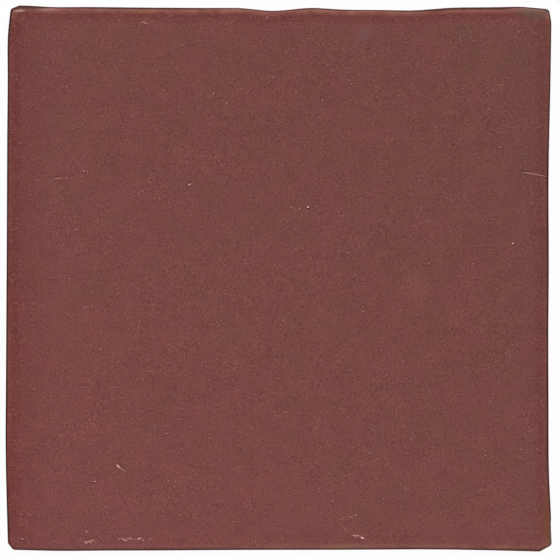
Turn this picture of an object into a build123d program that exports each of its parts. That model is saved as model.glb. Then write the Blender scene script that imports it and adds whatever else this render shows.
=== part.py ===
from build123d import *
import os
from math import pi, sin

# A square wall tile: one slab of clay, pressed, trimmed by hand, glazed on its face and fired.
# It lies on its keyed back with the glazed face up. The origin is in the middle of the back,
# +Z points out of the face and +Y points to the head of the tile.

# Overall size
side = 130.0  # nominal square that the trimmed edges step in from
thickness = 9.0  # from the back to the highest point of the face

# Corners, anticlockwise from the left of the foot: how far the two sides step in from the nominal square there,
# and how much of each side was cut off with the corner, both along X and Y
corners = [
    {"place": (-1, -1), "step": (0.55, 0.5), "cut": (1.3, 1.6)},
    {"place": (1, -1), "step": (0.05, 0.1), "cut": (3.0, 1.35)},
    {"place": (1, 1), "step": (0.8, 0.95), "cut": (0.0, 0.0)},
    {"place": (-1, 1), "step": (1.2, 0.1), "cut": (2.1, 0.85)},
]

# The wavy run of each side, anticlockwise: share of the way to the next corner, and step in there
foot_run = [
    (0.06, 0.36),
    (0.1, 0.25),
    (0.15, 0.31),
    (0.22, 0.33),
    (0.4, 0.47),
    (0.6, 0.51),
    (0.78, 0.61),
    (0.88, 0.42),
    (0.95, 0.18),
]
right_run = [
    (0.08, 0.47),
    (0.15, 0.88),
    (0.25, 0.96),
    (0.41, 1.01),
    (0.52, 0.89),
    (0.68, 0.96),
    (0.82, 0.61),
    (0.9, 0.41),
    (0.955, 0.3),
    (0.968, 0.31),
    (0.982, 0.61),
]
head_run = [
    (0.025, 0.79),
    (0.055, 0.45),
    (0.1, 0.52),
    (0.19, 0.69),
    (0.255, 1.29),
    (0.3, 1.21),
    (0.35, 1.18),
    (0.4, 0.98),
    (0.445, 0.71),
    (0.512, 1.4),
    (0.57, 0.74),
    (0.6, 0.71),
    (0.66, 0.69),
    (0.78, 0.57),
    (0.86, 0.49),
    (0.92, 0.46),
    (0.945, 0.25),
]
left_run = [
    (0.03, 0.86),
    (0.055, 0.57),
    (0.12, 0.52),
    (0.2, 0.44),
    (0.3, 0.37),
    (0.5, 0.25),
    (0.7, 0.08),
    (0.81, 0.02),
    (0.9, 0.25),
]

# Flanks and arrises
flank_lean = 0.25  # the face is this much smaller than the back on every side
arris_radius = 0.95  # rolled edge of the face
corner_rub = 0.1  # how much rounder than the arris the cut corners were rubbed
back_arris = 0.5  # chamfer round the back

# Face: its margins roll down towards the edges, and slow waves are left by the press
margin_width = 12.0
margin_fall = 0.35
wave_length = 74.0  # from left to right
cross_wave_length = 47.0  # from foot to head
wave_depth = 0.12

# Keyed back: a grid of shallow pockets that the adhesive fills
key_count = 4
key_rib = 4.0
key_border = 10.0
key_depth = 0.6
key_corner = 1.5
key_taper = 25.0  # degrees that the pocket walls lean from upright

# Worked out from the sizes above
half = side / 2
blank_height = thickness + margin_fall
sheet_half = half + margin_width / 4  # the face is drawn a little past the edges, then trimmed to them
sheet_points = 27  # rows and columns of points that the face is drawn through
key_pocket = (side - 2 * key_border - (key_count - 1) * key_rib) / key_count
key_pitch = key_pocket + key_rib


def cut_ends(corner, inset):
    """Where the cut across a corner leaves the side along X and the side along Y, all set in by inset."""
    x, y = [sign * (half - step - inset) for sign, step in zip(corner["place"], corner["step"])]
    cut_x, cut_y = [sign * cut for sign, cut in zip(corner["place"], corner["cut"])]
    return Vector(x - cut_x, y), Vector(x, y - cut_y)


def run_points(start, end, run, inset):
    """The points of one side, from cut to cut, with its waves stepping in from the nominal square."""
    nominal_start = Vector(*start["place"]) * (half - inset)
    nominal_end = Vector(*end["place"]) * (half - inset)
    along = nominal_end - nominal_start
    inward = Vector(-along.Y, along.X).normalized()
    waves = [nominal_start + along * share + inward * step for share, step in run]
    axis = 0 if abs(along.X) > abs(along.Y) else 1
    return [cut_ends(start, inset)[axis], *waves, cut_ends(end, inset)[axis]]


def face_height(x, y):
    """Height of the glazed face: level in the field, with slow waves, and rolled down at the margins."""
    wave = sin(2 * pi * x / wave_length) * sin(2 * pi * y / cross_wave_length)
    into_margins = [max(0, abs(place) - half + margin_width) / margin_width for place in (x, y)]
    return thickness - wave_depth * (1 - wave) / 2 - margin_fall * sum(share**2 for share in into_margins)


with BuildPart() as tile:
    # Slab, from its outline at the back to the slightly smaller one at the face
    for height, inset in ((0, 0), (blank_height, flank_lean)):
        with BuildSketch(Plane.XY.offset(height)):
            with BuildLine():
                for n, run in enumerate((foot_run, right_run, head_run, left_run)):
                    corner, next_corner = corners[n], corners[(n + 1) % 4]
                    Spline(run_points(corner, next_corner, run, inset))
                    if any(next_corner["cut"]):
                        Line(*cut_ends(next_corner, inset))
            make_face()
    loft(ruled=True)

    # Rubbed corners
    uprights = tile.edges().filter_by(lambda edge: edge.bounding_box().size.Z > thickness / 2)
    fillet(uprights, arris_radius + corner_rub)

    # Glazed face
    places = [sheet_half * (2 * n / (sheet_points - 1) - 1) for n in range(sheet_points)]
    grid = [[(x, y, face_height(x, y)) for x in places] for y in places]
    face_sheet = Face.make_surface_from_array_of_points(grid)
    extrude(face_sheet, amount=2 * thickness, dir=(0, 0, -1), mode=Mode.INTERSECT)

    # Arrises
    fillet(tile.faces().sort_by(Axis.Z)[-1].edges(), arris_radius)
    chamfer(tile.faces().sort_by(Axis.Z)[0].edges(), back_arris)

    # Keyed back
    with BuildSketch(Plane.XY):
        with GridLocations(key_pitch, key_pitch, key_count, key_count):
            RectangleRounded(key_pocket, key_pocket, key_corner)
    extrude(amount=key_depth, taper=key_taper, mode=Mode.SUBTRACT)

tile.part.label = "tile"

os.makedirs("parts", exist_ok=True)
export_step(tile.part, "parts/tile.step")
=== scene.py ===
import math

import bmesh
import bpy
import numpy as np
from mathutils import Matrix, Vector, noise
from mathutils.bvhtree import BVHTree


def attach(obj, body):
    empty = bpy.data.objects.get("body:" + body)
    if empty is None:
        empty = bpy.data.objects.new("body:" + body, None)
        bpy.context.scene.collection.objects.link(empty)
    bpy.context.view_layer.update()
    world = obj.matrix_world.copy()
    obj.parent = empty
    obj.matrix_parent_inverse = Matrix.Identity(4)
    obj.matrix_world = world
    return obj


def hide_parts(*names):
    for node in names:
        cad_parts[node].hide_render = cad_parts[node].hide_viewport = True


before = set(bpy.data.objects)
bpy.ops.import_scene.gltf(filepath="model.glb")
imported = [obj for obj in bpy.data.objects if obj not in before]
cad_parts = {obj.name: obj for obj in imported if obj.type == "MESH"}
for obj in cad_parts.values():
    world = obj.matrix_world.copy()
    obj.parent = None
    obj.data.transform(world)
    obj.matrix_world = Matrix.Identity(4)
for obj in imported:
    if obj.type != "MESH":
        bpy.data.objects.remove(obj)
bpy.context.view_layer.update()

# Tile
# One slab of buff clay, pressed, trimmed by hand so that its sides run in slow waves, dipped face down in
# glaze and fired on its keyed back. The solid gives the outline, the lie of the face and the back, and the
# rolled arrises, the knocks on them and the dents in the flanks are added here.
mm = 0.001
tile_half = 65 * mm
flank_foot = 0.6 * mm  # height where the flank starts, above the chamfer round the back
flank_lean = 0.02 * mm
flank_dents = 0.06 * mm
dent_length = 5 * mm
flank_rings = 10
arris_width = 0.95 * mm
arris_drop = 0.75 * mm
arris_swells = [(14 * mm, 0.2), (3 * mm, 0.12)]  # lengths over which it swells and thins, and by what share
arris_rings = 9
corner_stretch = 4.5 * mm  # the mesh is finer this far from each corner
corner_steps = 15
corner_blend = 4  # points on each side over which the arris turns a corner
field_step = 0.75 * mm
face_smoothings = 12  # rounds that take the solid's facets out of the face
key_border = 5 * mm  # the keyed pockets are all further in than this
key_depth = 0.6 * mm
weld_distance = 0.001 * mm
sharp_angle = math.radians(40)

# Marks on the edges, with places and sizes in millimetres
slant = {"middle": (64.9, -61.5), "reach": 5, "lean": 0.4}  # where the flank was cut aslant
knocks = [
    {"middle": (-61.7, 64.0), "reach": 1.8, "depth": 0.16},
    {"middle": (-55.6, 64.2), "reach": 1.5, "depth": 0.08},
    {"middle": (62.8, 63.5), "reach": 3.2, "depth": 0.22},
    {"middle": (-64.4, 58.1), "reach": 0.9, "depth": 0.15},
    {"middle": (2.6, 63.6), "reach": 2.0, "depth": 0.1},
]
knock_share = 0.7  # share of its depth that a knock has on average
knock_roughness = 0.5  # how much that changes from crumb to crumb
knock_crumb = 0.6 * mm
painted_shade_widths = [  # of the dark painted shade over the flank and outer arris, by sides passed on the way round: foot, right, head, left
    (0.06, 0.64),
    (0.12, 0.7),
    (0.4, 0.7),
    (0.46, 0.6),
    (0.67, 0.6),
    (0.72, 0.7),
    (0.98, 0.7),
    (1.04, 0.5),
    (1.18, 0.65),
    (1.7, 0.65),
    (1.76, 0.52),
    (1.96, 0.5),
    (2.05, 0.5),
    (2.09, 0.8),
    (2.2, 0.78),
    (2.25, 0.6),
    (2.35, 0.5),
    (2.45, 0.6),
    (2.5, 0.54),
    (2.6, 0.56),
    (2.7, 0.66),
    (2.82, 0.66),
    (2.92, 0.5),
    (2.95, 0.8),
    (2.99, 0.8),
    (3.02, 0.58),
]

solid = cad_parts["tile"]
solid_tree = BVHTree.FromPolygons(
    [vertex.co for vertex in solid.data.vertices], [polygon.vertices for polygon in solid.data.polygons]
)


def trimmed_edge(x, y):
    """The solid's flank, seen from outside through a point of the nominal square."""
    outside = Vector((2 * x, 2 * y, flank_foot))
    return solid_tree.ray_cast(outside, Vector((-x, -y, 0)))[0][:2]


def pressed_face(x, y):
    """Height of the solid's face."""
    return solid_tree.ray_cast(Vector((x, y, 2 * tile_half)), Vector((0, 0, -1)))[0].z


def wander(point, length):
    """A smooth chance value from -1 to 1 that changes over about this length."""
    return noise.noise(Vector((*point, 0)[:3]) / length)


def nearness(points, spot):
    """How near points are to a spot: 1 in its middle, 0 from its reach outwards."""
    away = np.linalg.norm(points[..., :2] - np.array(spot["middle"]) * mm, axis=-1) / (spot["reach"] * mm)
    return np.clip(1 - away**2, 0, 1) ** 2


# Outline, anticlockwise from the left of the foot, with its inward directions
near_corner = np.linspace(0, corner_stretch, corner_steps, endpoint=False)
field_steps = round(2 * (tile_half - corner_stretch) / field_step)
field = np.linspace(corner_stretch, 2 * tile_half - corner_stretch, field_steps + 1)
places = np.concatenate([near_corner, field, 2 * tile_half - near_corner[::-1]]) - tile_half
side_steps = len(places) - 1
run = places[:-1]
edge = np.full(side_steps, tile_half)
sides = ((run, -edge), (edge, run), (-run, edge), (-edge, -run))
square = np.concatenate([np.column_stack(side) for side in sides])
outline = np.array([trimmed_edge(x, y) for x, y in square])
tangents = np.roll(outline, -1, axis=0) - np.roll(outline, 1, axis=0)
inward = np.column_stack([-tangents[:, 1], tangents[:, 0]])
inward /= np.linalg.norm(inward, axis=1, keepdims=True)
inward = sum(np.roll(inward, shift, axis=0) for shift in range(-corner_blend, corner_blend + 1))
inward /= np.linalg.norm(inward, axis=1, keepdims=True)
sides_passed = np.concatenate([side + (run + tile_half) / (2 * tile_half) for side in range(4)])
painted_shade_places, painted_shade_sizes = zip(*painted_shade_widths)
painted_shade_width = np.interp(sides_passed, painted_shade_places, np.array(painted_shade_sizes) * mm)

# Flank and arris, ring by ring from the foot of the flank to the edge of the face
swell = np.array(
    [sum((share * wander(p, length) for length, share in arris_swells), start=1) for p in outline]
)
lean = flank_lean + slant["lean"] * mm * nearness(outline, slant)
rim = outline + inward * (lean + arris_width * swell)[:, None]
rim_height = np.array([pressed_face(x, y) for x, y in rim])
flank_top = rim_height - arris_drop * swell
rings = []
ring_insets = []  # how far in from the flank each ring lies, along the arris
for n in range(flank_rings + 1):
    share = n / flank_rings
    height = flank_foot + share * (flank_top - flank_foot)
    dents = np.array([0.5 + 0.5 * wander((*p, h), dent_length) for p, h in zip(outline, height)])
    step_in = lean * share + flank_dents * dents * (1 - share)
    rings.append(np.column_stack([outline + inward * step_in[:, None], height]))
    ring_insets.append(0)
for n in range(1, arris_rings + 1):
    turn = math.pi / 2 * n / arris_rings
    step_in = lean + arris_width * swell * (1 - math.cos(turn))
    height = flank_top + arris_drop * swell * math.sin(turn)
    rings.append(np.column_stack([outline + inward * step_in[:, None], height]))
    ring_insets.append(arris_width * n / arris_rings)

# Face, a grid stretched between the four runs of the rim
foot = rim[: side_steps + 1]
right = rim[side_steps : 2 * side_steps + 1]
head = rim[2 * side_steps : 3 * side_steps + 1][::-1]
left = np.concatenate([rim[3 * side_steps :], rim[:1]])[::-1]
across = ((places + tile_half) / (2 * tile_half))[:, None, None]
up = ((places + tile_half) / (2 * tile_half))[None, :, None]
sheet = (1 - up) * foot[:, None] + up * head[:, None] + (1 - across) * left[None] + across * right[None]
sheet -= (1 - across) * ((1 - up) * foot[0] + up * head[0]) + across * ((1 - up) * foot[-1] + up * head[-1])
lie = np.array([[pressed_face(x, y) for x, y in column] for column in sheet])
for _ in range(face_smoothings):
    neighbours = lie[:-2, 1:-1] + lie[2:, 1:-1] + lie[1:-1, :-2] + lie[1:-1, 2:]
    lie[1:-1, 1:-1] = neighbours / 4
inner = np.concatenate([sheet, lie[:, :, None]], axis=2)[1:-1, 1:-1]
from_sides = np.minimum(sheet[:, :, 0] - left[None, :, 0], right[None, :, 0] - sheet[:, :, 0])
from_ends = np.minimum(sheet[:, :, 1] - foot[:, None, 1], head[:, None, 1] - sheet[:, :, 1])
inner_insets = arris_width + np.minimum(from_sides, from_ends)[1:-1, 1:-1]

# Points of flank, arris and face, with the knocks beaten in
ring_points = 4 * side_steps
points = np.concatenate([*rings, inner.reshape(-1, 3)])
insets = np.concatenate([np.repeat(ring_insets, ring_points), inner_insets.ravel()])
# the width of the painted shade round the edge at each point, with its mean on the face
painted_shade_at_points = np.concatenate([np.tile(painted_shade_width, len(rings)), np.full(inner_insets.size, painted_shade_width.mean())])
for knock in knocks:
    crumbled = np.array([knock_share + knock_roughness * wander(p, knock_crumb) for p in points])
    points[:, 2] -= knock["depth"] * mm * nearness(points, knock) * crumbled * (insets > 0)

# Their mesh: quads between the rings, and between the face's points, which the last ring borders
lower = ring_points * np.arange(len(rings) - 1)[:, None]
upper = lower + ring_points
here = np.arange(ring_points)
there = (here + 1) % ring_points
ring_quads = np.stack([lower + here, lower + there, upper + there, upper + here], axis=-1)
rim_start = (len(rings) - 1) * ring_points
numbers = np.zeros((side_steps + 1, side_steps + 1), int)
numbers[1:-1, 1:-1] = rim_start + ring_points + np.arange((side_steps - 1) ** 2).reshape(side_steps - 1, -1)
numbers[:-1, 0] = rim_start + np.arange(side_steps)
numbers[-1, :-1] = rim_start + side_steps + np.arange(side_steps)
numbers[:0:-1, -1] = rim_start + 2 * side_steps + np.arange(side_steps)
numbers[0, :0:-1] = rim_start + 3 * side_steps + np.arange(side_steps)
face_quads = np.stack([numbers[:-1, :-1], numbers[1:, :-1], numbers[1:, 1:], numbers[:-1, 1:]], axis=-1)
quads = np.concatenate([ring_quads.reshape(-1, 4), face_quads.reshape(-1, 4)])
tile_mesh = bpy.data.meshes.new("glazed_tile")
tile_mesh.from_pydata(points.tolist(), [], quads.tolist())
for name, values in (("inset", insets), ("painted_shade_width", painted_shade_at_points)):
    tile_mesh.attributes.new(name, "FLOAT", "POINT").data.foreach_set("value", values)

# Keyed back, the solid's own, joined to the foot of the flank by a chamfer
back = bmesh.new()
back.from_mesh(solid.data)
bmesh.ops.remove_doubles(back, verts=back.verts, dist=weld_distance)
back.normal_update()


def is_back(face):
    """True for the level parts of the back and the walls of its pockets."""
    low_down = max(vertex.co.z for vertex in face.verts) < 1.5 * key_depth
    faces_down = face.normal.z < -0.99
    middle = face.calc_center_median()
    among_pockets = max(abs(middle.x), abs(middle.y)) < tile_half - key_border
    return low_down and (faces_down or among_pockets)


bmesh.ops.delete(back, geom=[face for face in back.faces if not is_back(face)], context="FACES")
back_mesh = bpy.data.meshes.new("tile_back")
back.to_mesh(back_mesh)
back.free()
whole = bmesh.new()
whole.from_mesh(tile_mesh)
whole.from_mesh(back_mesh)
bmesh.ops.bridge_loops(whole, edges=[join for join in whole.edges if join.is_boundary])
bmesh.ops.recalc_face_normals(whole, faces=whole.faces)
for polygon in whole.faces:
    polygon.smooth = True
whole.to_mesh(tile_mesh)
whole.free()
bpy.data.meshes.remove(back_mesh)


def new_material(name):
    """A material whose node tree is still empty."""
    material = bpy.data.materials.new(name)
    material.use_nodes = True
    material.node_tree.nodes.clear()
    return material


def add(tree, kind, inputs=None, **settings):
    """Adds a node with its settings, and gives its inputs values, or links from nodes or their outputs."""
    node = tree.nodes.new(kind)
    for name, value in settings.items():
        setattr(node, name, value)
    in_use = [socket for socket in node.inputs if socket.enabled]
    for key, value in (inputs or {}).items():
        socket = in_use[key] if isinstance(key, int) else next(s for s in in_use if s.name == key)
        if isinstance(value, bpy.types.Node):
            value = next(output for output in value.outputs if output.enabled)
        if isinstance(value, bpy.types.NodeSocket):
            tree.links.new(value, socket)
        else:
            socket.default_value = value
    return node


def colour(hex_code):
    """The linear colour, with alpha, of an sRGB hex value."""
    values = [int(hex_code[n : n + 2], 16) / 255 for n in (1, 3, 5)]
    return (*[v / 12.92 if v <= 0.04045 else ((v + 0.055) / 1.055) ** 2.4 for v in values], 1)


# Satin-matt glaze on buff biscuit
# An iron-red glaze, dipped and fired to a dry satin: even from afar and grainy close by. Shade is painted
# into it along the margins, except at the foot, and towards the sides; it is thin and warmer on the arrises,
# with a highlight painted on the head's, and a dark roll of painted shade lies over the outer arrises and the
# flanks. Under its ragged end the biscuit is bare and gritty, and painted dark grey as shade where the flank
# was cut aslant.
glaze_rust = "#774340"
glaze_umber = "#6D453D"
# painted shade along the margins and towards the left side
deep_painted_shade = "#6B3532"
# painted shade towards the right side
right_painted_shade = "#6A423D"
# thin, warmer glaze on the arrises, and a painted highlight on the arris at the head
thin_glaze_and_highlight = "#8E5C51"
# dark painted shade over the outer arris and the flank, also the colour of the real bead at the glaze's end
bead_and_painted_shade = "#39110D"
glaze_pit = "#40120E"
glaze_haze = "#9E6D68"
glaze_wrinkle = "#46130E"
biscuit_pale = "#B9A493"
biscuit_grey = "#8E877B"
# painted shade: dark grey on the bare biscuit where the flank was cut aslant
biscuit_painted_shade = "#4A4D47"
pit_spacing = 2.0 * mm
pit_radius = 0.2 * mm
umber_drift = 0.094  # how much the umber patches gain from the middle to the head, and to the right
thin_and_highlight_way = (1, 3, 0)  # direction in which the thin glaze and its painted highlight gain, from the left of the foot
tone_drift = (-0.02, -0.056)  # change in lightness from the middle to the right, and to the head
streak_reach = 4 * mm  # how far streaks in the roll of painted shade run down the flank
glaze_end = 2.6 * mm  # height on the flank where the glaze stops
glaze_end_ragged = 1.5 * mm  # how far up and down its end runs at most
glaze_end_edge = 0.2 * mm  # height over which it thins out to nothing
glaze_bead = 0.9 * mm  # height of the bead along its end, drawn in the dark colour of the painted shade
bump_depth = 0.03 * mm
biscuit_bumps = 3  # depth of the grit in the biscuit, by that of the grain in the glaze
spot_edge = (1.5, 1.0)  # distances, by a spot's reach, where it starts to show and where it is full

# Marks in the glaze, with places, reaches and heights in millimetres
bare_slant = {"middle": (64.85, -61.2), "reach": (1.4, 5.5), "height": 4.7}
worn_spots = [
    {"middle": (-61.8, 63.6), "reach": (1.8, 0.34), "colour": biscuit_pale, "share": 0.48},
    {"middle": (-55.0, 63.7), "reach": (3.2, 0.5), "colour": biscuit_grey, "share": 0.12},
    {"middle": (-32.5, 63.5), "reach": (5.5, 0.6), "colour": "#8A5A42", "share": 0.45},
    {"middle": (61.5, 63.5), "reach": (6.2, 2.3), "colour": "#665449", "share": 0.55},
    {"middle": (64.0, 64.0), "reach": (1.3, 1.0), "colour": "#4A423C", "share": 0.6},
    {"middle": (2.6, 63.7), "reach": (1.6, 0.5), "colour": "#8E5A3E", "share": 0.7},
    {"middle": (24.5, 63.8), "reach": (8.0, 0.6), "colour": "#85573F", "share": 0.5},
    {"middle": (16.5, -63.7), "reach": (7.0, 0.8), "colour": "#8A6450", "share": 0.4},
    {"middle": (-27.6, -60.9), "reach": (2.8, 1.5), "colour": "#834A36", "share": 0.28},
    {"middle": (20.2, 58.3), "reach": (2.4, 2.0), "colour": "#77545C", "share": 0.3},
    {"middle": (32.3, -1.8), "reach": (4.5, 4.0), "colour": "#8E5A52", "share": 0.15},
    {"middle": (63.6, -57.0), "reach": (1.3, 8.0), "colour": "#714430", "share": 0.6},
]

glaze = new_material("satin_glaze_on_biscuit")
tree = glaze.node_tree
place = add(tree, "ShaderNodeTexCoord").outputs["Object"]
axes = add(tree, "ShaderNodeSeparateXYZ", {"Vector": place}).outputs
inset = add(tree, "ShaderNodeAttribute", attribute_name="inset").outputs["Fac"]
# width of the painted shade round the edge
roll = add(tree, "ShaderNodeAttribute", attribute_name="painted_shade_width").outputs["Fac"]

# Chance patterns, each with the size of its largest spots. The real grain is finer, and it is drawn as coarse
# as it needs to show
chance = {}
for name, spot_size, detail in (
    ("patches", 8 * mm, 4),
    ("mottle", 3.5 * mm, 1),
    ("clusters", 2.6 * mm, 2),
    ("grain", 0.42 * mm, 2),
    ("thinning", 6 * mm, 2),
    ("crumbs", 0.8 * mm, 3),
    ("streaks", 5 * mm, 2),
    ("ragged", 6.5 * mm, 3),
    ("grit", 0.5 * mm, 3),
):
    speckled = {"Vector": place, "Scale": 1 / spot_size, "Detail": detail, "Roughness": 0.6}
    chance[name] = add(tree, "ShaderNodeTexNoise", speckled).outputs["Fac"]
pitted = {"Vector": place, "Scale": 1 / pit_spacing}
pits = add(tree, "ShaderNodeTexVoronoi", pitted, voronoi_dimensions="2D").outputs
pit_luck = add(tree, "ShaderNodeSeparateColor", {"Color": pits["Color"]})

# Distances from the worn spots and the bare slant, 1 at their reach, with crumbled edges
for spot in (*worn_spots, bare_slant):
    scale = [1 / (reach * mm) for reach in spot["reach"]]
    shift = [-middle * mm * s for middle, s in zip(spot["middle"], scale)]
    local = add(tree, "ShaderNodeMapping", {"Vector": place, "Location": (*shift, 0), "Scale": (*scale, 0)})
    away = add(tree, "ShaderNodeVectorMath", {0: local}, operation="LENGTH")
    spot["away"] = add(tree, "ShaderNodeMath", {0: away, 1: chance["crumbs"]}, operation="ADD")

# What the coats go by: patches that grow towards the head and the right, the way from the left of the foot to
# the head, the distance from the middle line, the roll of painted shade and its streaks, and the end of the
# glaze
head_right = (umber_drift / tile_half, umber_drift / tile_half, 0)
to_head_right = add(tree, "ShaderNodeVectorMath", {0: place, 1: head_right}, operation="DOT_PRODUCT")
patchy = add(tree, "ShaderNodeMath", {0: chance["patches"], 1: to_head_right}, operation="ADD")
foot_to_head = add(tree, "ShaderNodeVectorMath", {0: place, 1: thin_and_highlight_way}, operation="DOT_PRODUCT")
from_middle = add(tree, "ShaderNodeMath", {0: axes["Y"]}, operation="ABSOLUTE")
into_painted_shade = add(tree, "ShaderNodeMath", {0: inset, 1: roll}, operation="DIVIDE")
streaky = {0: chance["streaks"], 1: streak_reach, 2: axes["Z"]}
streaked = add(tree, "ShaderNodeMath", streaky, operation="MULTIPLY_ADD")
slant_start, slant_full = spot_edge
on_slant = {"Value": bare_slant["away"], "From Min": slant_start, "From Max": slant_full}
drawn_up = add(tree, "ShaderNodeMapRange", {**on_slant, "To Max": bare_slant["height"] * mm})
ragged = {0: chance["ragged"], 1: 2 * glaze_end_ragged, 2: glaze_end - glaze_end_ragged}
ragged_end = add(tree, "ShaderNodeMath", ragged, operation="MULTIPLY_ADD")
local_end = add(tree, "ShaderNodeMath", {0: ragged_end, 1: drawn_up}, operation="ADD")
above_end = add(tree, "ShaderNodeMath", {0: axes["Z"], 1: local_end}, operation="SUBTRACT")

# Coats, each laid over the ones before it, with a share that is the product of its rows. A row holds its
# source, the source's values at the start and the end, and the shares that it gives there
in_clusters = (chance["clusters"], 0.35, 0.65, 0.36, 1.14)
in_pits = (pits["Distance"], pit_radius / pit_spacing, 0.4 * pit_radius / pit_spacing, 0, 0.57)
bare = (above_end, glaze_end_edge, 0, 0, 1)
worn = [
    {"colour": spot["colour"], "rows": [(spot["away"], *spot_edge, 0, spot["share"])]}
    for spot in worn_spots
]
coats = [
    {"colour": glaze_umber, "rows": [(patchy, 0.3, 0.9, 0, 1), (inset, 2 * mm, 5 * mm, 0, 1)]},
    # painted shade along the margins and over the arrises, but not at the foot
    {
        "colour": deep_painted_shade,
        "rows": [(inset, 4 * mm, 1.6 * mm, 0, 0.8), (axes["Y"], -63 * mm, -56 * mm, 0, 1)],
    },
    # painted shade towards the left side
    {"colour": deep_painted_shade, "rows": [(axes["X"], -54 * mm, -tile_half, 0, 0.58)]},
    # painted shade towards the right side
    {"colour": right_painted_shade, "rows": [(axes["X"], 55 * mm, 63 * mm, 0, 0.4)]},
    {"colour": glaze_wrinkle, "rows": [(chance["grain"], 0.5, 0.2, 0, 0.58), in_clusters]},
    {"colour": glaze_haze, "rows": [(chance["grain"], 0.55, 0.8, 0, 0.7), in_clusters]},
    {"colour": glaze_pit, "rows": [in_pits, (pit_luck, 0.49, 0.51, 0, 1)]},
    # thin, warmer glaze on the arrises, most at the head and the foot, with a painted highlight at the head
    {
        "colour": thin_glaze_and_highlight,
        "rows": [
            (inset, 1.7 * mm, 0.75 * mm, 0, 1),
            (from_middle, 61 * mm, 62.5 * mm, 0.22, 1),
            (foot_to_head, -250 * mm, -125 * mm, 0.1, 1),
            (chance["thinning"], 0.4, 0.6, 0.3, 0.9),
        ],
    },
    *worn,
    # a dark roll of painted shade over the outer arris and the flank, streaked down it
    {
        "colour": bead_and_painted_shade,
        "rows": [
            (into_painted_shade, 1.12, 0.74, 0, 1),
            (streaked, 5.5 * mm, 9 * mm, 0.55, 0.94),
            (axes["Y"], -64 * mm, -58 * mm, 0.8, 1),
            (bare_slant["away"], *spot_edge, 1, 0.3),
        ],
    },
    # the bead along the glaze's end, in the dark colour of the painted shade
    {"colour": bead_and_painted_shade, "rows": [(above_end, glaze_bead, 0, 0, 0.9)]},
    {"colour": biscuit_grey, "rows": [bare]},
    {"colour": biscuit_pale, "rows": [bare, (chance["grit"], 0.3, 0.6, 0, 1)]},
    # painted shade, dark grey, on the bare biscuit where the flank was cut aslant
    {
        "colour": biscuit_painted_shade,
        "rows": [bare, (bare_slant["away"], *spot_edge, 0, 0.95), (chance["grit"], 0.25, 0.6, 1, 0.6)],
    },
]
body = colour(glaze_rust)
for coat in coats:
    share = 1.0
    for source, start, end, low, high in coat["rows"]:
        limits = {"From Min": start, "From Max": end, "To Min": low, "To Max": high}
        step = add(tree, "ShaderNodeMapRange", {"Value": source, **limits})
        share = add(tree, "ShaderNodeMath", {0: step, 1: share}, operation="MULTIPLY")
    laid = {"Factor": share, "A": body, "B": colour(coat["colour"])}
    body = add(tree, "ShaderNodeMix", laid, data_type="RGBA")

# Mottle, a little lighter or darker from spot to spot, and lighter towards the foot and the left
drift = (*[change / tile_half for change in tone_drift], 0)
drifted = add(tree, "ShaderNodeVectorMath", {0: place, 1: drift}, operation="DOT_PRODUCT")
spotted = {"Value": chance["mottle"], "From Min": 0.25, "From Max": 0.75, "To Min": 0.955, "To Max": 1.045}
mottle = add(tree, "ShaderNodeMapRange", spotted)
lightness = add(tree, "ShaderNodeMath", {0: mottle, 1: drifted}, operation="ADD")
toned = add(tree, "ShaderNodeHueSaturation", {"Value": lightness, "Color": body})

# Satin on the face and dry on the flank and the biscuit, in rows like the coats', of which the roughest holds
roughness = 0.0
for source, start, end, low, high in (
    (chance["mottle"], 0.3, 0.7, 0.5, 0.6),
    (inset, 1.0 * mm, 0.3 * mm, 0, 0.95),
    (above_end, glaze_end_edge, 0, 0, 0.9),
):
    limits = {"From Min": start, "From Max": end, "To Min": low, "To Max": high}
    step = add(tree, "ShaderNodeMapRange", {"Value": source, **limits})
    roughness = add(tree, "ShaderNodeMath", {0: step, 1: roughness}, operation="MAXIMUM")

# Grain in the glaze and grit in the biscuit, felt as well as seen
gritty = {"Value": above_end, "From Min": 0, "From Max": glaze_end_edge, "To Min": biscuit_bumps, "To Max": 0}
grit_share = add(tree, "ShaderNodeMapRange", gritty)
bumpy = {0: chance["grit"], 1: grit_share, 2: chance["grain"]}
bumps = add(tree, "ShaderNodeMath", bumpy, operation="MULTIPLY_ADD")
normal = add(tree, "ShaderNodeBump", {"Strength": 1, "Distance": bump_depth, "Height": bumps})
finish = {"Roughness": roughness, "IOR": 1.5, "Specular IOR Level": 0.12, "Normal": normal}
shader = add(tree, "ShaderNodeBsdfPrincipled", {"Base Color": toned, **finish})
add(tree, "ShaderNodeOutputMaterial", {"Surface": shader})


def new_tree(name, inputs):
    """A Geometry Nodes tree from geometry to geometry, with named inputs of these kinds."""
    tree = bpy.data.node_groups.new(name, "GeometryNodeTree")
    tree.interface.new_socket("Geometry", in_out="INPUT", socket_type="NodeSocketGeometry")
    for label, (kind, value) in inputs.items():
        tree.interface.new_socket(label, in_out="INPUT", socket_type=kind)
    tree.interface.new_socket("Geometry", in_out="OUTPUT", socket_type="NodeSocketGeometry")
    return tree


def end_tree(tree, geometry, material):
    """Ends a tree with its instances made real, in this material."""
    single = add(tree, "GeometryNodeRealizeInstances", {"Geometry": geometry})
    finished = add(tree, "GeometryNodeSetMaterial", {"Geometry": single, "Material": material})
    add(tree, "NodeGroupOutput", {"Geometry": finished})


def new_object(name, data):
    """An object in the scene, at the origin."""
    thing = bpy.data.objects.new(name, data)
    bpy.context.scene.collection.objects.link(thing)
    return thing


def settle(piece, tree, inputs):
    """Runs a tree on a piece with these inputs, and leaves the result as the piece's plain mesh."""
    modifier = piece.modifiers.new(tree.name, "NODES")
    modifier.node_group = tree
    for socket in tree.interface.items_tree:
        if socket.in_out == "INPUT" and socket.name in inputs:
            kind, value = inputs[socket.name]
            modifier[socket.identifier] = value
    evaluated = piece.evaluated_get(bpy.context.evaluated_depsgraph_get())
    made = bpy.data.meshes.new_from_object(evaluated)
    piece.modifiers.remove(modifier)
    piece.data = made


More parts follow.
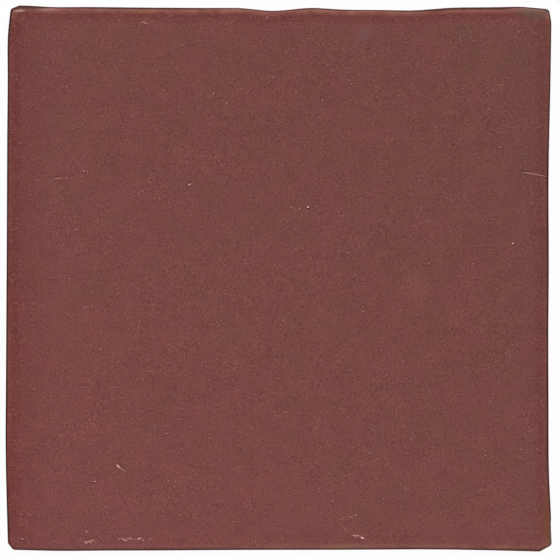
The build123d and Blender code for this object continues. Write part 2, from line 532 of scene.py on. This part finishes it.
# Skin of the glaze: slow hollows left by the press, and a fine eggshell
relief_inputs = {
    "Hollow Depth": ("NodeSocketFloat", 0.05 * mm),
    "Hollow Size": ("NodeSocketFloat", 22 * mm),
    "Eggshell Depth": ("NodeSocketFloat", 0.016 * mm),
    "Eggshell Size": ("NodeSocketFloat", 3 * mm),
    "Material": ("NodeSocketMaterial", glaze),
}
relief = new_tree("press_relief", relief_inputs)
given = add(relief, "NodeGroupInput").outputs
inset = add(relief, "GeometryNodeInputNamedAttribute", {"Name": "inset"}, data_type="FLOAT")
on_face = add(relief, "ShaderNodeMath", {0: inset, 1: arris_width}, operation="DIVIDE", use_clamp=True)
sunk = 0.0
for form in ("Hollow", "Eggshell"):
    scale = add(relief, "ShaderNodeMath", {0: 1.0, 1: given[f"{form} Size"]}, operation="DIVIDE")
    pattern = add(relief, "ShaderNodeTexNoise", {"Scale": scale, "Detail": 1}).outputs["Fac"]
    deepened = {0: pattern, 1: given[f"{form} Depth"], 2: sunk}
    sunk = add(relief, "ShaderNodeMath", deepened, operation="MULTIPLY_ADD")
depth = add(relief, "ShaderNodeMath", {0: sunk, 1: on_face}, operation="MULTIPLY")
down = add(relief, "ShaderNodeVectorMath", {0: (0, 0, -1), "Scale": depth}, operation="SCALE")
sunken = add(relief, "GeometryNodeSetPosition", {"Geometry": given["Geometry"], "Offset": down})
end_tree(relief, sunken, given["Material"])

tile = new_object("glazed_tile", tile_mesh)
settle(tile, relief, relief_inputs)
tile.data.set_sharp_from_angle(angle=sharp_angle)
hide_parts("tile")
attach(tile, "root")

# Grit in the glaze
# Pale grains of feldspar that came up through the glaze in the kiln and stand a hair above it. Most are
# specks, strewn by chance. The larger ones are set one by one, and the glaze drew back from them and left
# dark collars.
grit_density = 35000  # grains on a square metre
grit_smallest = 0.045 * mm
grit_rarity = 0.23  # larger grains get rarer faster when this is smaller
grit_least_luck = 0.004  # the largest grain gets larger when this is smaller
grit_margin = 1.5 * mm
grit_collared = 0.08 * mm  # grains larger than this have a collar
grit_white_from = 0.14 * mm  # smaller grains are pinker, as the glaze shows through
grit_seed = 4
collar_seed = 2
grit_pink = "#BC827A"
grit_white = "#EBBEB4"
grit_collar = "#40120E"
grain_form = (1.2, 0.85, 0.3)  # half the length, width and height of a grain, by its size
collar_form = (2.1, 1.6, 0.12)
large_grains = [  # places and sizes in millimetres
    ((6.9, 16.9), 0.24),
    ((4.9, 16.5), 0.15),
    ((2.9, 16.9), 0.12),
    ((9.0, 17.1), 0.12),
    ((55.5, 8.3), 0.21),
    ((52.5, 31.1), 0.14),
    ((-43.7, -48.2), 0.16),
    ((-26.3, -48.1), 0.12),
    ((-1.4, 47.8), 0.12),
    ((1.1, -9.9), 0.13),
    ((-46.4, 25.4), 0.14),
    ((-10.5, -20.3), 0.13),
    ((-15.5, 43.9), 0.14),
    ((10.3, 42.2), 0.13),
    ((57.5, -40.6), 0.12),
    ((51.1, -58.5), 0.11),
    ((24.8, -52.4), 0.13),
    ((21.5, -41.4), 0.14),
    ((-52.2, 38.5), 0.1),
    ((-6.4, 11.8), 0.12),
    ((-17.7, 4.0), 0.1),
    ((-20.5, 1.2), 0.1),
    ((18.3, -56.2), 0.15),
    ((17.6, -56.9), 0.1),
    ((29.9, -49.8), 0.13),
    ((30.9, -50.1), 0.12),
    ((29.4, -59.5), 0.1),
    ((12.5, -50.4), 0.11),
    ((-41.1, -54.3), 0.12),
    ((-43.1, -54.1), 0.1),
    ((-40.7, -55.7), 0.11),
    ((-39.2, -57.1), 0.11),
    ((-42.5, -51.2), 0.1),
    ((-51.7, -58.5), 0.11),
    ((-31.5, -0.1), 0.12),
    ((-45.8, -6.8), 0.12),
    ((-38.6, -8.4), 0.1),
    ((-14.2, -11.1), 0.12),
    ((-9.8, -26.6), 0.12),
    ((-26.6, -31.0), 0.1),
    ((-26.6, -36.8), 0.13),
    ((-6.5, -35.4), 0.12),
    ((-42.4, -16.8), 0.11),
    ((-16.4, -37.9), 0.1),
    ((17.2, 46.1), 0.11),
    ((9.7, 38.4), 0.11),
    ((49.7, 40.1), 0.12),
    ((39.9, 19.1), 0.11),
    ((16.5, 6.1), 0.13),
    ((-30.7, 22.9), 0.12),
    ((-33.4, 20.1), 0.13),
    ((-48.2, 11.6), 0.14),
    ((-15.1, 28.8), 0.1),
    ((19.9, -7.9), 0.13),
    ((29.3, -19.8), 0.11),
    ((50.1, -29.2), 0.11),
    ((-60.95, -61.85), 0.17),
    ((-61.4, -56.0), 0.11),
]

grain_mesh = bpy.data.meshes.new("grains")
grain_mesh.from_pydata([(x * mm, y * mm, tile_half) for (x, y), size in large_grains], [], [])
grain_sizes = [size * mm for spot, size in large_grains]
grain_mesh.attributes.new("grain_size", "FLOAT", "POINT").data.foreach_set("value", grain_sizes)

# Fired feldspar: dull and milky, the larger grains almost white, with the collars marked by a tone below 0
feldspar = new_material("feldspar_grit")
tree = feldspar.node_tree
tone = add(tree, "ShaderNodeAttribute", attribute_name="grain_tone").outputs["Fac"]
milky = {"Factor": tone, "A": colour(grit_pink), "B": colour(grit_white)}
grain = add(tree, "ShaderNodeMix", milky, data_type="RGBA")
is_collar = add(tree, "ShaderNodeMath", {0: tone, 1: 0.0}, operation="LESS_THAN")
set_dark = {"Factor": is_collar, "A": grain, "B": colour(grit_collar)}
grain_or_collar = add(tree, "ShaderNodeMix", set_dark, data_type="RGBA")
finish = {"Roughness": 0.6, "IOR": 1.52, "Specular IOR Level": 0.2}
shader = add(tree, "ShaderNodeBsdfPrincipled", {"Base Color": grain_or_collar, **finish})
add(tree, "ShaderNodeOutputMaterial", {"Surface": shader})

scatter_inputs = {
    "Face": ("NodeSocketObject", tile),
    "Density": ("NodeSocketFloat", float(grit_density)),
    "Smallest": ("NodeSocketFloat", grit_smallest),
    "Rarity": ("NodeSocketFloat", grit_rarity),
    "Collared": ("NodeSocketFloat", grit_collared),
    "Seed": ("NodeSocketInt", grit_seed),
    "Material": ("NodeSocketMaterial", feldspar),
}
scatter = new_tree("grit_scatter", scatter_inputs)
given = add(scatter, "NodeGroupInput").outputs
ground = add(scatter, "GeometryNodeObjectInfo", {"Object": given["Face"]}).outputs["Geometry"]

# Specks strewn over the level face, the larger the rarer
inset = add(scatter, "GeometryNodeInputNamedAttribute", {"Name": "inset"}, data_type="FLOAT")
level = add(scatter, "ShaderNodeMath", {0: inset, 1: grit_margin}, operation="GREATER_THAN")
strewn = {"Mesh": ground, "Selection": level, "Density": given["Density"], "Seed": given["Seed"]}
specks = add(scatter, "GeometryNodeDistributePointsOnFaces", strewn)
drawn = {"Min": grit_least_luck, "Max": 1.0, "Seed": given["Seed"]}
luck = add(scatter, "FunctionNodeRandomValue", drawn, data_type="FLOAT")
rarity = add(scatter, "ShaderNodeMath", {0: 0.0, 1: given["Rarity"]}, operation="SUBTRACT")
growth = add(scatter, "ShaderNodeMath", {0: luck, 1: rarity}, operation="POWER")
speck_size = add(scatter, "ShaderNodeMath", {0: growth, 1: given["Smallest"]}, operation="MULTIPLY")
grown = {"Geometry": specks, "Name": "grain_size", "Value": speck_size}
grown_specks = add(scatter, "GeometryNodeStoreNamedAttribute", grown, data_type="FLOAT", domain="POINT")

# Large grains, dropped onto the face from above
placed = add(scatter, "GeometryNodeMeshToPoints", {"Mesh": given["Geometry"]})
drop = {"Target Geometry": ground, "Ray Direction": (0, 0, -1), "Ray Length": 2 * tile_half}
landed = add(scatter, "GeometryNodeRaycast", drop).outputs["Hit Position"]
dropped = add(scatter, "GeometryNodeSetPosition", {"Geometry": placed, "Position": landed})
grains = add(scatter, "GeometryNodeJoinGeometry", {0: grown_specks})
scatter.links.new(dropped.outputs[0], grains.inputs[0])

# Each grain, and a dark collar round the larger ones, to one side
size = add(scatter, "GeometryNodeInputNamedAttribute", {"Name": "grain_size"}, data_type="FLOAT")
spun = {"Min": (0, 0, 0), "Max": (0, 0, 2 * math.pi)}
turn = add(scatter, "FunctionNodeRandomValue", spun, data_type="FLOAT_VECTOR")
whiteness = add(scatter, "ShaderNodeMath", {0: size, 1: grit_white_from}, operation="DIVIDE", use_clamp=True)
collared = add(scatter, "ShaderNodeMath", {0: size, 1: given["Collared"]}, operation="GREATER_THAN")
any_way = {"Min": (-1, -1, 0), "Max": (1, 1, 0), "Seed": collar_seed}
one_way = add(scatter, "FunctionNodeRandomValue", any_way, data_type="FLOAT_VECTOR")
aside = add(scatter, "ShaderNodeVectorMath", {0: one_way, "Scale": size}, operation="SCALE")
collars = add(scatter, "GeometryNodeSetPosition", {"Geometry": grains, "Offset": aside})
set_in = add(scatter, "GeometryNodeJoinGeometry")
for spots, chosen, form, shade in (
    (grains, True, grain_form, whiteness),
    (collars, collared, collar_form, -1.0),
):
    ball = add(scatter, "GeometryNodeMeshIcoSphere", {"Radius": 1.0, "Subdivisions": 1}).outputs["Mesh"]
    squat = add(scatter, "ShaderNodeVectorMath", {0: form, "Scale": size}, operation="SCALE")
    each = {"Points": spots, "Selection": chosen, "Instance": ball, "Rotation": turn, "Scale": squat}
    balls = add(scatter, "GeometryNodeInstanceOnPoints", each)
    shaded = {"Geometry": balls, "Name": "grain_tone", "Value": shade}
    beads = add(scatter, "GeometryNodeStoreNamedAttribute", shaded, data_type="FLOAT", domain="INSTANCE")
    scatter.links.new(beads.outputs[0], set_in.inputs[0])
end_tree(scatter, set_in, given["Material"])

grit_piece = new_object("glaze_grit", grain_mesh)
settle(grit_piece, scatter, scatter_inputs)
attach(grit_piece, "root")

# Scratches
# Fine lines where the face was scraped in handling: hazed or powdered glaze, here and there beside a dark
# line of painted shade in a groove, and runs of short slivers near the foot, where the tile was dragged as it
# was set down.
# painted shade for the grooves beside some scratches
groove_painted_shade = "#4E2723"
scratch_haze = "#8A5C55"
scratch_white = "#E2B4AC"

# Places, lengths and half widths in millimetres, and tones from 0, the painted shade of a groove, by 0.5, a
# haze, to 1, white
scratches = [
    {"points": [(-38.6, -44.25), (-38.2, -44.6), (-37.6, -45.05)], "width": 0.14, "tone": 1.05},
    {"points": [(-37.8, -44.9), (-37.2, -45.3), (-36.5, -45.8)], "width": 0.1, "tone": 0.6},
    {"points": [(-37.9, -43.8), (-37.5, -44.3), (-37.1, -44.5)], "width": 0.12, "tone": 0.0},
    {"points": [(-58.0, 23.2), (-57.0, 23.25), (-56.0, 23.3)], "width": 0.1, "tone": 0.34},
    {"points": [(-55.6, 23.4), (-54.5, 23.55), (-53.2, 23.7)], "width": 0.08, "tone": 0.3},
    {"points": [(-53.3, 23.65), (-52.4, 23.75), (-51.4, 23.85)], "width": 0.14, "tone": 0.5},
    {"points": [(-51.2, 23.9), (-50.6, 24.0), (-49.9, 24.1)], "width": 0.1, "tone": 0.48},
    {"points": [(-55.2, 23.8), (-53.5, 24.1), (-51.5, 24.3), (-48.0, 24.5)], "width": 0.06, "tone": 0.05},
    {"points": [(58.0, 25.25), (60.5, 24.8), (62.3, 24.45), (63.85, 24.05)], "width": 0.09, "tone": 0.66},
    {"points": [(57.2, 25.75), (58.6, 25.5), (60.2, 25.2)], "width": 0.12, "tone": 0.1},
    {"points": [(60.5, 24.6), (62.3, 24.2), (63.8, 23.85)], "width": 0.06, "tone": 0.1},
    {"points": [(-32.5, 60.9), (-31.9, 60.75), (-31.2, 60.45)], "width": 0.11, "tone": 0.7},
    {"points": [(-32.2, 60.5), (-31.7, 60.4), (-31.1, 60.15)], "width": 0.08, "tone": 0.1},
    {"points": [(-21.7, 22.1), (-21.3, 22.25), (-20.9, 22.45)], "width": 0.13, "tone": 0.78},
    {"points": [(-21.1, 22.3), (-20.8, 22.6), (-20.4, 22.9)], "width": 0.1, "tone": 0.4},
    {"points": [(-21.5, 22.9), (-21.1, 23.0), (-20.7, 22.95)], "width": 0.13, "tone": 0.0},
    {"points": [(52.0, 45.9), (53.2, 45.8)], "width": 0.09, "tone": 0.5},
    {"points": [(28.3, 5.2), (32.0, 0.2), (35.9, -4.4)], "width": 0.05, "tone": 0.4},
    {"points": [(19.4, -61.4), (20.1, -61.7)], "width": 0.27, "tone": 1.1},
]
dragged_runs = [
    {"from": (-38.2, -61.9), "to": (-34.4, -61.7), "slivers": 11, "tone": 0.95},
    {"from": (-33.6, -61.75), "to": (-32.2, -61.8), "slivers": 4, "tone": 1.0},
    {"from": (-31.1, -61.9), "to": (-29.8, -61.8), "slivers": 3, "tone": 0.8},
    {"from": (-46.2, -62.7), "to": (-44.2, -62.25), "slivers": 10, "tone": 1.1},
    {"from": (-46.1, -60.1), "to": (-45.3, -60.1), "slivers": 2, "tone": 0.8},
    {"from": (17.6, -60.8), "to": (19.6, -61.4), "slivers": 8, "tone": 1.0},
    {"from": (14.4, -57.3), "to": (17.4, -56.6), "slivers": 6, "tone": 0.6},
    {"from": (14.8, -58.2), "to": (16.4, -60.2), "slivers": 5, "tone": 0.55},
]
sliver_length = 0.4
sliver_lengths = (0.5, 1.3)  # shortest and longest, by the length above
sliver_width = 0.16
sliver_widths = (0.6, 1.3)  # narrowest and widest, by the width above
sliver_slope = (0.2, 0.4)  # mean and spread
sliver_stray = 0.17
sliver_seed = 7
powder_crumb = 0.6 * mm
powder_break = 0.3  # how much the tone rises in the lightest crumbs
waver_length = 1.2 * mm
widest_early = 0.7  # below 1, a line is widest before its middle
end_width = 0.4  # width of a line's ends, by its widest
line_flatness = 0.15  # height of a line, by its width

sliver_chance = np.random.default_rng(sliver_seed)
for drag in dragged_runs:
    for share in (np.arange(drag["slivers"]) + 0.5) / drag["slivers"]:
        middle = np.array(drag["from"]) * (1 - share) + np.array(drag["to"]) * share
        middle += sliver_chance.normal(0, sliver_stray, 2)
        half_length = 0.5 * sliver_length * sliver_chance.uniform(*sliver_lengths)
        half_run = half_length * np.array((1, sliver_chance.normal(*sliver_slope)))
        width = sliver_width * sliver_chance.uniform(*sliver_widths)
        ends = [middle - half_run, middle + half_run]
        scratches.append({"points": ends, "width": width, "tone": drag["tone"]})

scratch_mesh = bpy.data.meshes.new("scratch_paths")
scratch_points = [(x * mm, y * mm, tile_half) for scratch in scratches for x, y in scratch["points"]]
scratch_edges = []
first = 0
for scratch in scratches:
    last = first + len(scratch["points"]) - 1
    scratch_edges += [(n, n + 1) for n in range(first, last)]
    first = last + 1
scratch_mesh.from_pydata(scratch_points, scratch_edges, [])
for name, key, unit in (("scratch_width", "width", mm), ("scratch_tone", "tone", 1)):
    values = [scratch[key] * unit for scratch in scratches for point in scratch["points"]]
    scratch_mesh.attributes.new(name, "FLOAT", "POINT").data.foreach_set("value", values)

# Powdered glaze, chalky and broken into lighter and darker crumbs, and painted shade for the grooves beside
# it
scratch_powder_and_shade = new_material("powdered_glaze_and_groove_shade")
tree = scratch_powder_and_shade.node_tree
place = add(tree, "ShaderNodeTexCoord").outputs["Object"]
tone = add(tree, "ShaderNodeAttribute", attribute_name="scratch_tone").outputs["Fac"]
crumbs = add(tree, "ShaderNodeTexNoise", {"Vector": place, "Scale": 1 / powder_crumb, "Detail": 2})
broken = add(tree, "ShaderNodeMath", {0: crumbs, 1: powder_break, 2: tone}, operation="MULTIPLY_ADD")
powder_and_groove_shade = colour(groove_painted_shade)
for lighter, start, end in ((scratch_haze, 0.25, 0.6), (scratch_white, 0.6, 1.25)):
    share = add(tree, "ShaderNodeMapRange", {"Value": broken, "From Min": start, "From Max": end})
    mixed = {"Factor": share, "A": powder_and_groove_shade, "B": colour(lighter)}
    powder_and_groove_shade = add(tree, "ShaderNodeMix", mixed, data_type="RGBA")
finish = {"Roughness": 0.9, "Specular IOR Level": 0.2}
shader = add(tree, "ShaderNodeBsdfPrincipled", {"Base Color": powder_and_groove_shade, **finish})
add(tree, "ShaderNodeOutputMaterial", {"Surface": shader})

scrape_inputs = {
    "Face": ("NodeSocketObject", tile),
    "Step": ("NodeSocketFloat", 0.3 * mm),
    "Stray": ("NodeSocketFloat", 0.25 * mm),
    "Material": ("NodeSocketMaterial", scratch_powder_and_shade),
}
scrape = new_tree("scrape_lines", scrape_inputs)
given = add(scrape, "NodeGroupInput").outputs
ground = add(scrape, "GeometryNodeObjectInfo", {"Object": given["Face"]}).outputs["Geometry"]

# Paths above the face, made to waver and dropped onto it
path = add(scrape, "GeometryNodeMeshToCurve", {"Mesh": given["Geometry"]})
stepped = add(scrape, "GeometryNodeResampleCurve", {"Curve": path, "Length": given["Step"]}, mode="LENGTH")
waver = add(scrape, "ShaderNodeTexNoise", {"Scale": 1 / waver_length, "Detail": 1}).outputs["Color"]
centred = add(scrape, "ShaderNodeVectorMath", {0: waver, 1: (0.5, 0.5, 0.5)}, operation="SUBTRACT")
level = add(scrape, "ShaderNodeVectorMath", {0: centred, 1: (1, 1, 0)}, operation="MULTIPLY")
stray = add(scrape, "ShaderNodeVectorMath", {0: level, "Scale": given["Stray"]}, operation="SCALE")
wavered = add(scrape, "GeometryNodeSetPosition", {"Geometry": stepped, "Offset": stray})
drop = {"Target Geometry": ground, "Ray Direction": (0, 0, -1), "Ray Length": 2 * tile_half}
landed = add(scrape, "GeometryNodeRaycast", drop).outputs["Hit Position"]
lying = add(scrape, "GeometryNodeSetPosition", {"Geometry": wavered, "Position": landed})

# Flat lines along them, widest soon after their start and thinnest at their ends
along = add(scrape, "GeometryNodeSplineParameter").outputs["Factor"]
early = add(scrape, "ShaderNodeMath", {0: along, 1: widest_early}, operation="POWER")
arc = add(scrape, "ShaderNodeMath", {0: early, 1: math.pi}, operation="MULTIPLY")
arched = add(scrape, "ShaderNodeMath", {0: arc}, operation="SINE")
swelling = {0: arched, 1: 1 - end_width, 2: end_width}
swollen = add(scrape, "ShaderNodeMath", swelling, operation="MULTIPLY_ADD")
half_width = add(scrape, "GeometryNodeInputNamedAttribute", {"Name": "scratch_width"}, data_type="FLOAT")
radius = add(scrape, "ShaderNodeMath", {0: swollen, 1: half_width}, operation="MULTIPLY")
section = add(scrape, "GeometryNodeCurvePrimitiveCircle", {"Resolution": 6, "Radius": 1.0})
flat = add(scrape, "GeometryNodeTransform", {"Geometry": section, "Scale": (1.0, line_flatness, 1.0)})
swept = {"Curve": lying, "Profile Curve": flat, "Scale": radius, "Fill Caps": True}
lines = add(scrape, "GeometryNodeCurveToMesh", swept)
end_tree(scrape, lines, given["Material"])

scratch_piece = new_object("scratches", scratch_mesh)
settle(scratch_piece, scrape, scrape_inputs)
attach(scratch_piece, "root")

# Floor
# A sheet of plain white paper that the tile lies on. The camera and the glaze see it almost as pure white,
# and the small share that stays matt paper shows the tile's shadow.
paper_white = "#FFFFFF"
paper_half = 6.0
paper_drop = 0.02 * mm  # below the back of the tile
pure_share = 0.94  # share of pure white in what is seen of the paper
paper = new_material("white_paper")
tree = paper.node_tree
rays = add(tree, "ShaderNodeLightPath").outputs
seen = rays["Is Camera Ray"]
for ray in ("Is Glossy Ray", "Is Transmission Ray"):
    seen = add(tree, "ShaderNodeMath", {0: seen, 1: rays[ray]}, operation="MAXIMUM")
white_share = add(tree, "ShaderNodeMath", {0: seen, 1: pure_share}, operation="MULTIPLY")
matt = add(tree, "ShaderNodeBsdfDiffuse", {"Color": colour(paper_white)})
white = add(tree, "ShaderNodeEmission", {"Color": colour(paper_white), "Strength": 1})
shader = add(tree, "ShaderNodeMixShader", {0: white_share, 1: matt, 2: white})
add(tree, "ShaderNodeOutputMaterial", {"Surface": shader})
floor_mesh = bpy.data.meshes.new("floor")
floor_corners = [(-1, -1), (1, -1), (1, 1), (-1, 1)]
floor_points = [(x * paper_half, y * paper_half, -paper_drop) for x, y in floor_corners]
floor_mesh.from_pydata(floor_points, [], [range(4)])
floor_mesh.materials.append(paper)
floor = new_object("floor", floor_mesh)

# Lamps
# Two soft boxes in a dim even room: a low key at the head of the tile, which picks out the arris there, and a
# weaker and higher fill at its foot.
lamps = [
    {"name": "key", "place": (0, 1.0, 0.38), "size": (1.2, 0.3), "watts": 17.2},
    {"name": "fill", "place": (0, -0.95, 0.6), "size": (1.2, 0.35), "watts": 8.8},
]
room_white = "#FFFFFF"
room_strength = 0.3
for lamp in lamps:
    light = bpy.data.lights.new(lamp["name"], "AREA")
    light.shape = "RECTANGLE"
    light.size, light.size_y = lamp["size"]
    light.energy = lamp["watts"]
    soft_box = new_object(lamp["name"], light)
    soft_box.location = lamp["place"]
    soft_box.rotation_euler = (-Vector(lamp["place"])).to_track_quat("-Z", "Y").to_euler()
    soft_box.visible_camera = False
room = bpy.data.worlds.new("room")
room.use_nodes = True
background = room.node_tree.nodes["Background"].inputs
background["Color"].default_value = colour(room_white)
background["Strength"].default_value = room_strength
bpy.context.scene.world = room
bpy.context.scene.view_settings.view_transform = "Standard"

# Camera
# Straight above the face, and far off with a long lens, so that the flanks stay hidden under the face. The
# frame is a little wider than the tile.
frame_width = 133.27 * mm
frame_middle = (0.226 * mm, -0.119 * mm)
lens = bpy.data.cameras.new("camera")
lens.lens = 1000
lens.sensor_width = 36
lens.clip_end = 100
camera = new_object("camera", lens)
camera.location = (*frame_middle, frame_width * lens.lens / lens.sensor_width)
bpy.context.scene.camera = camera
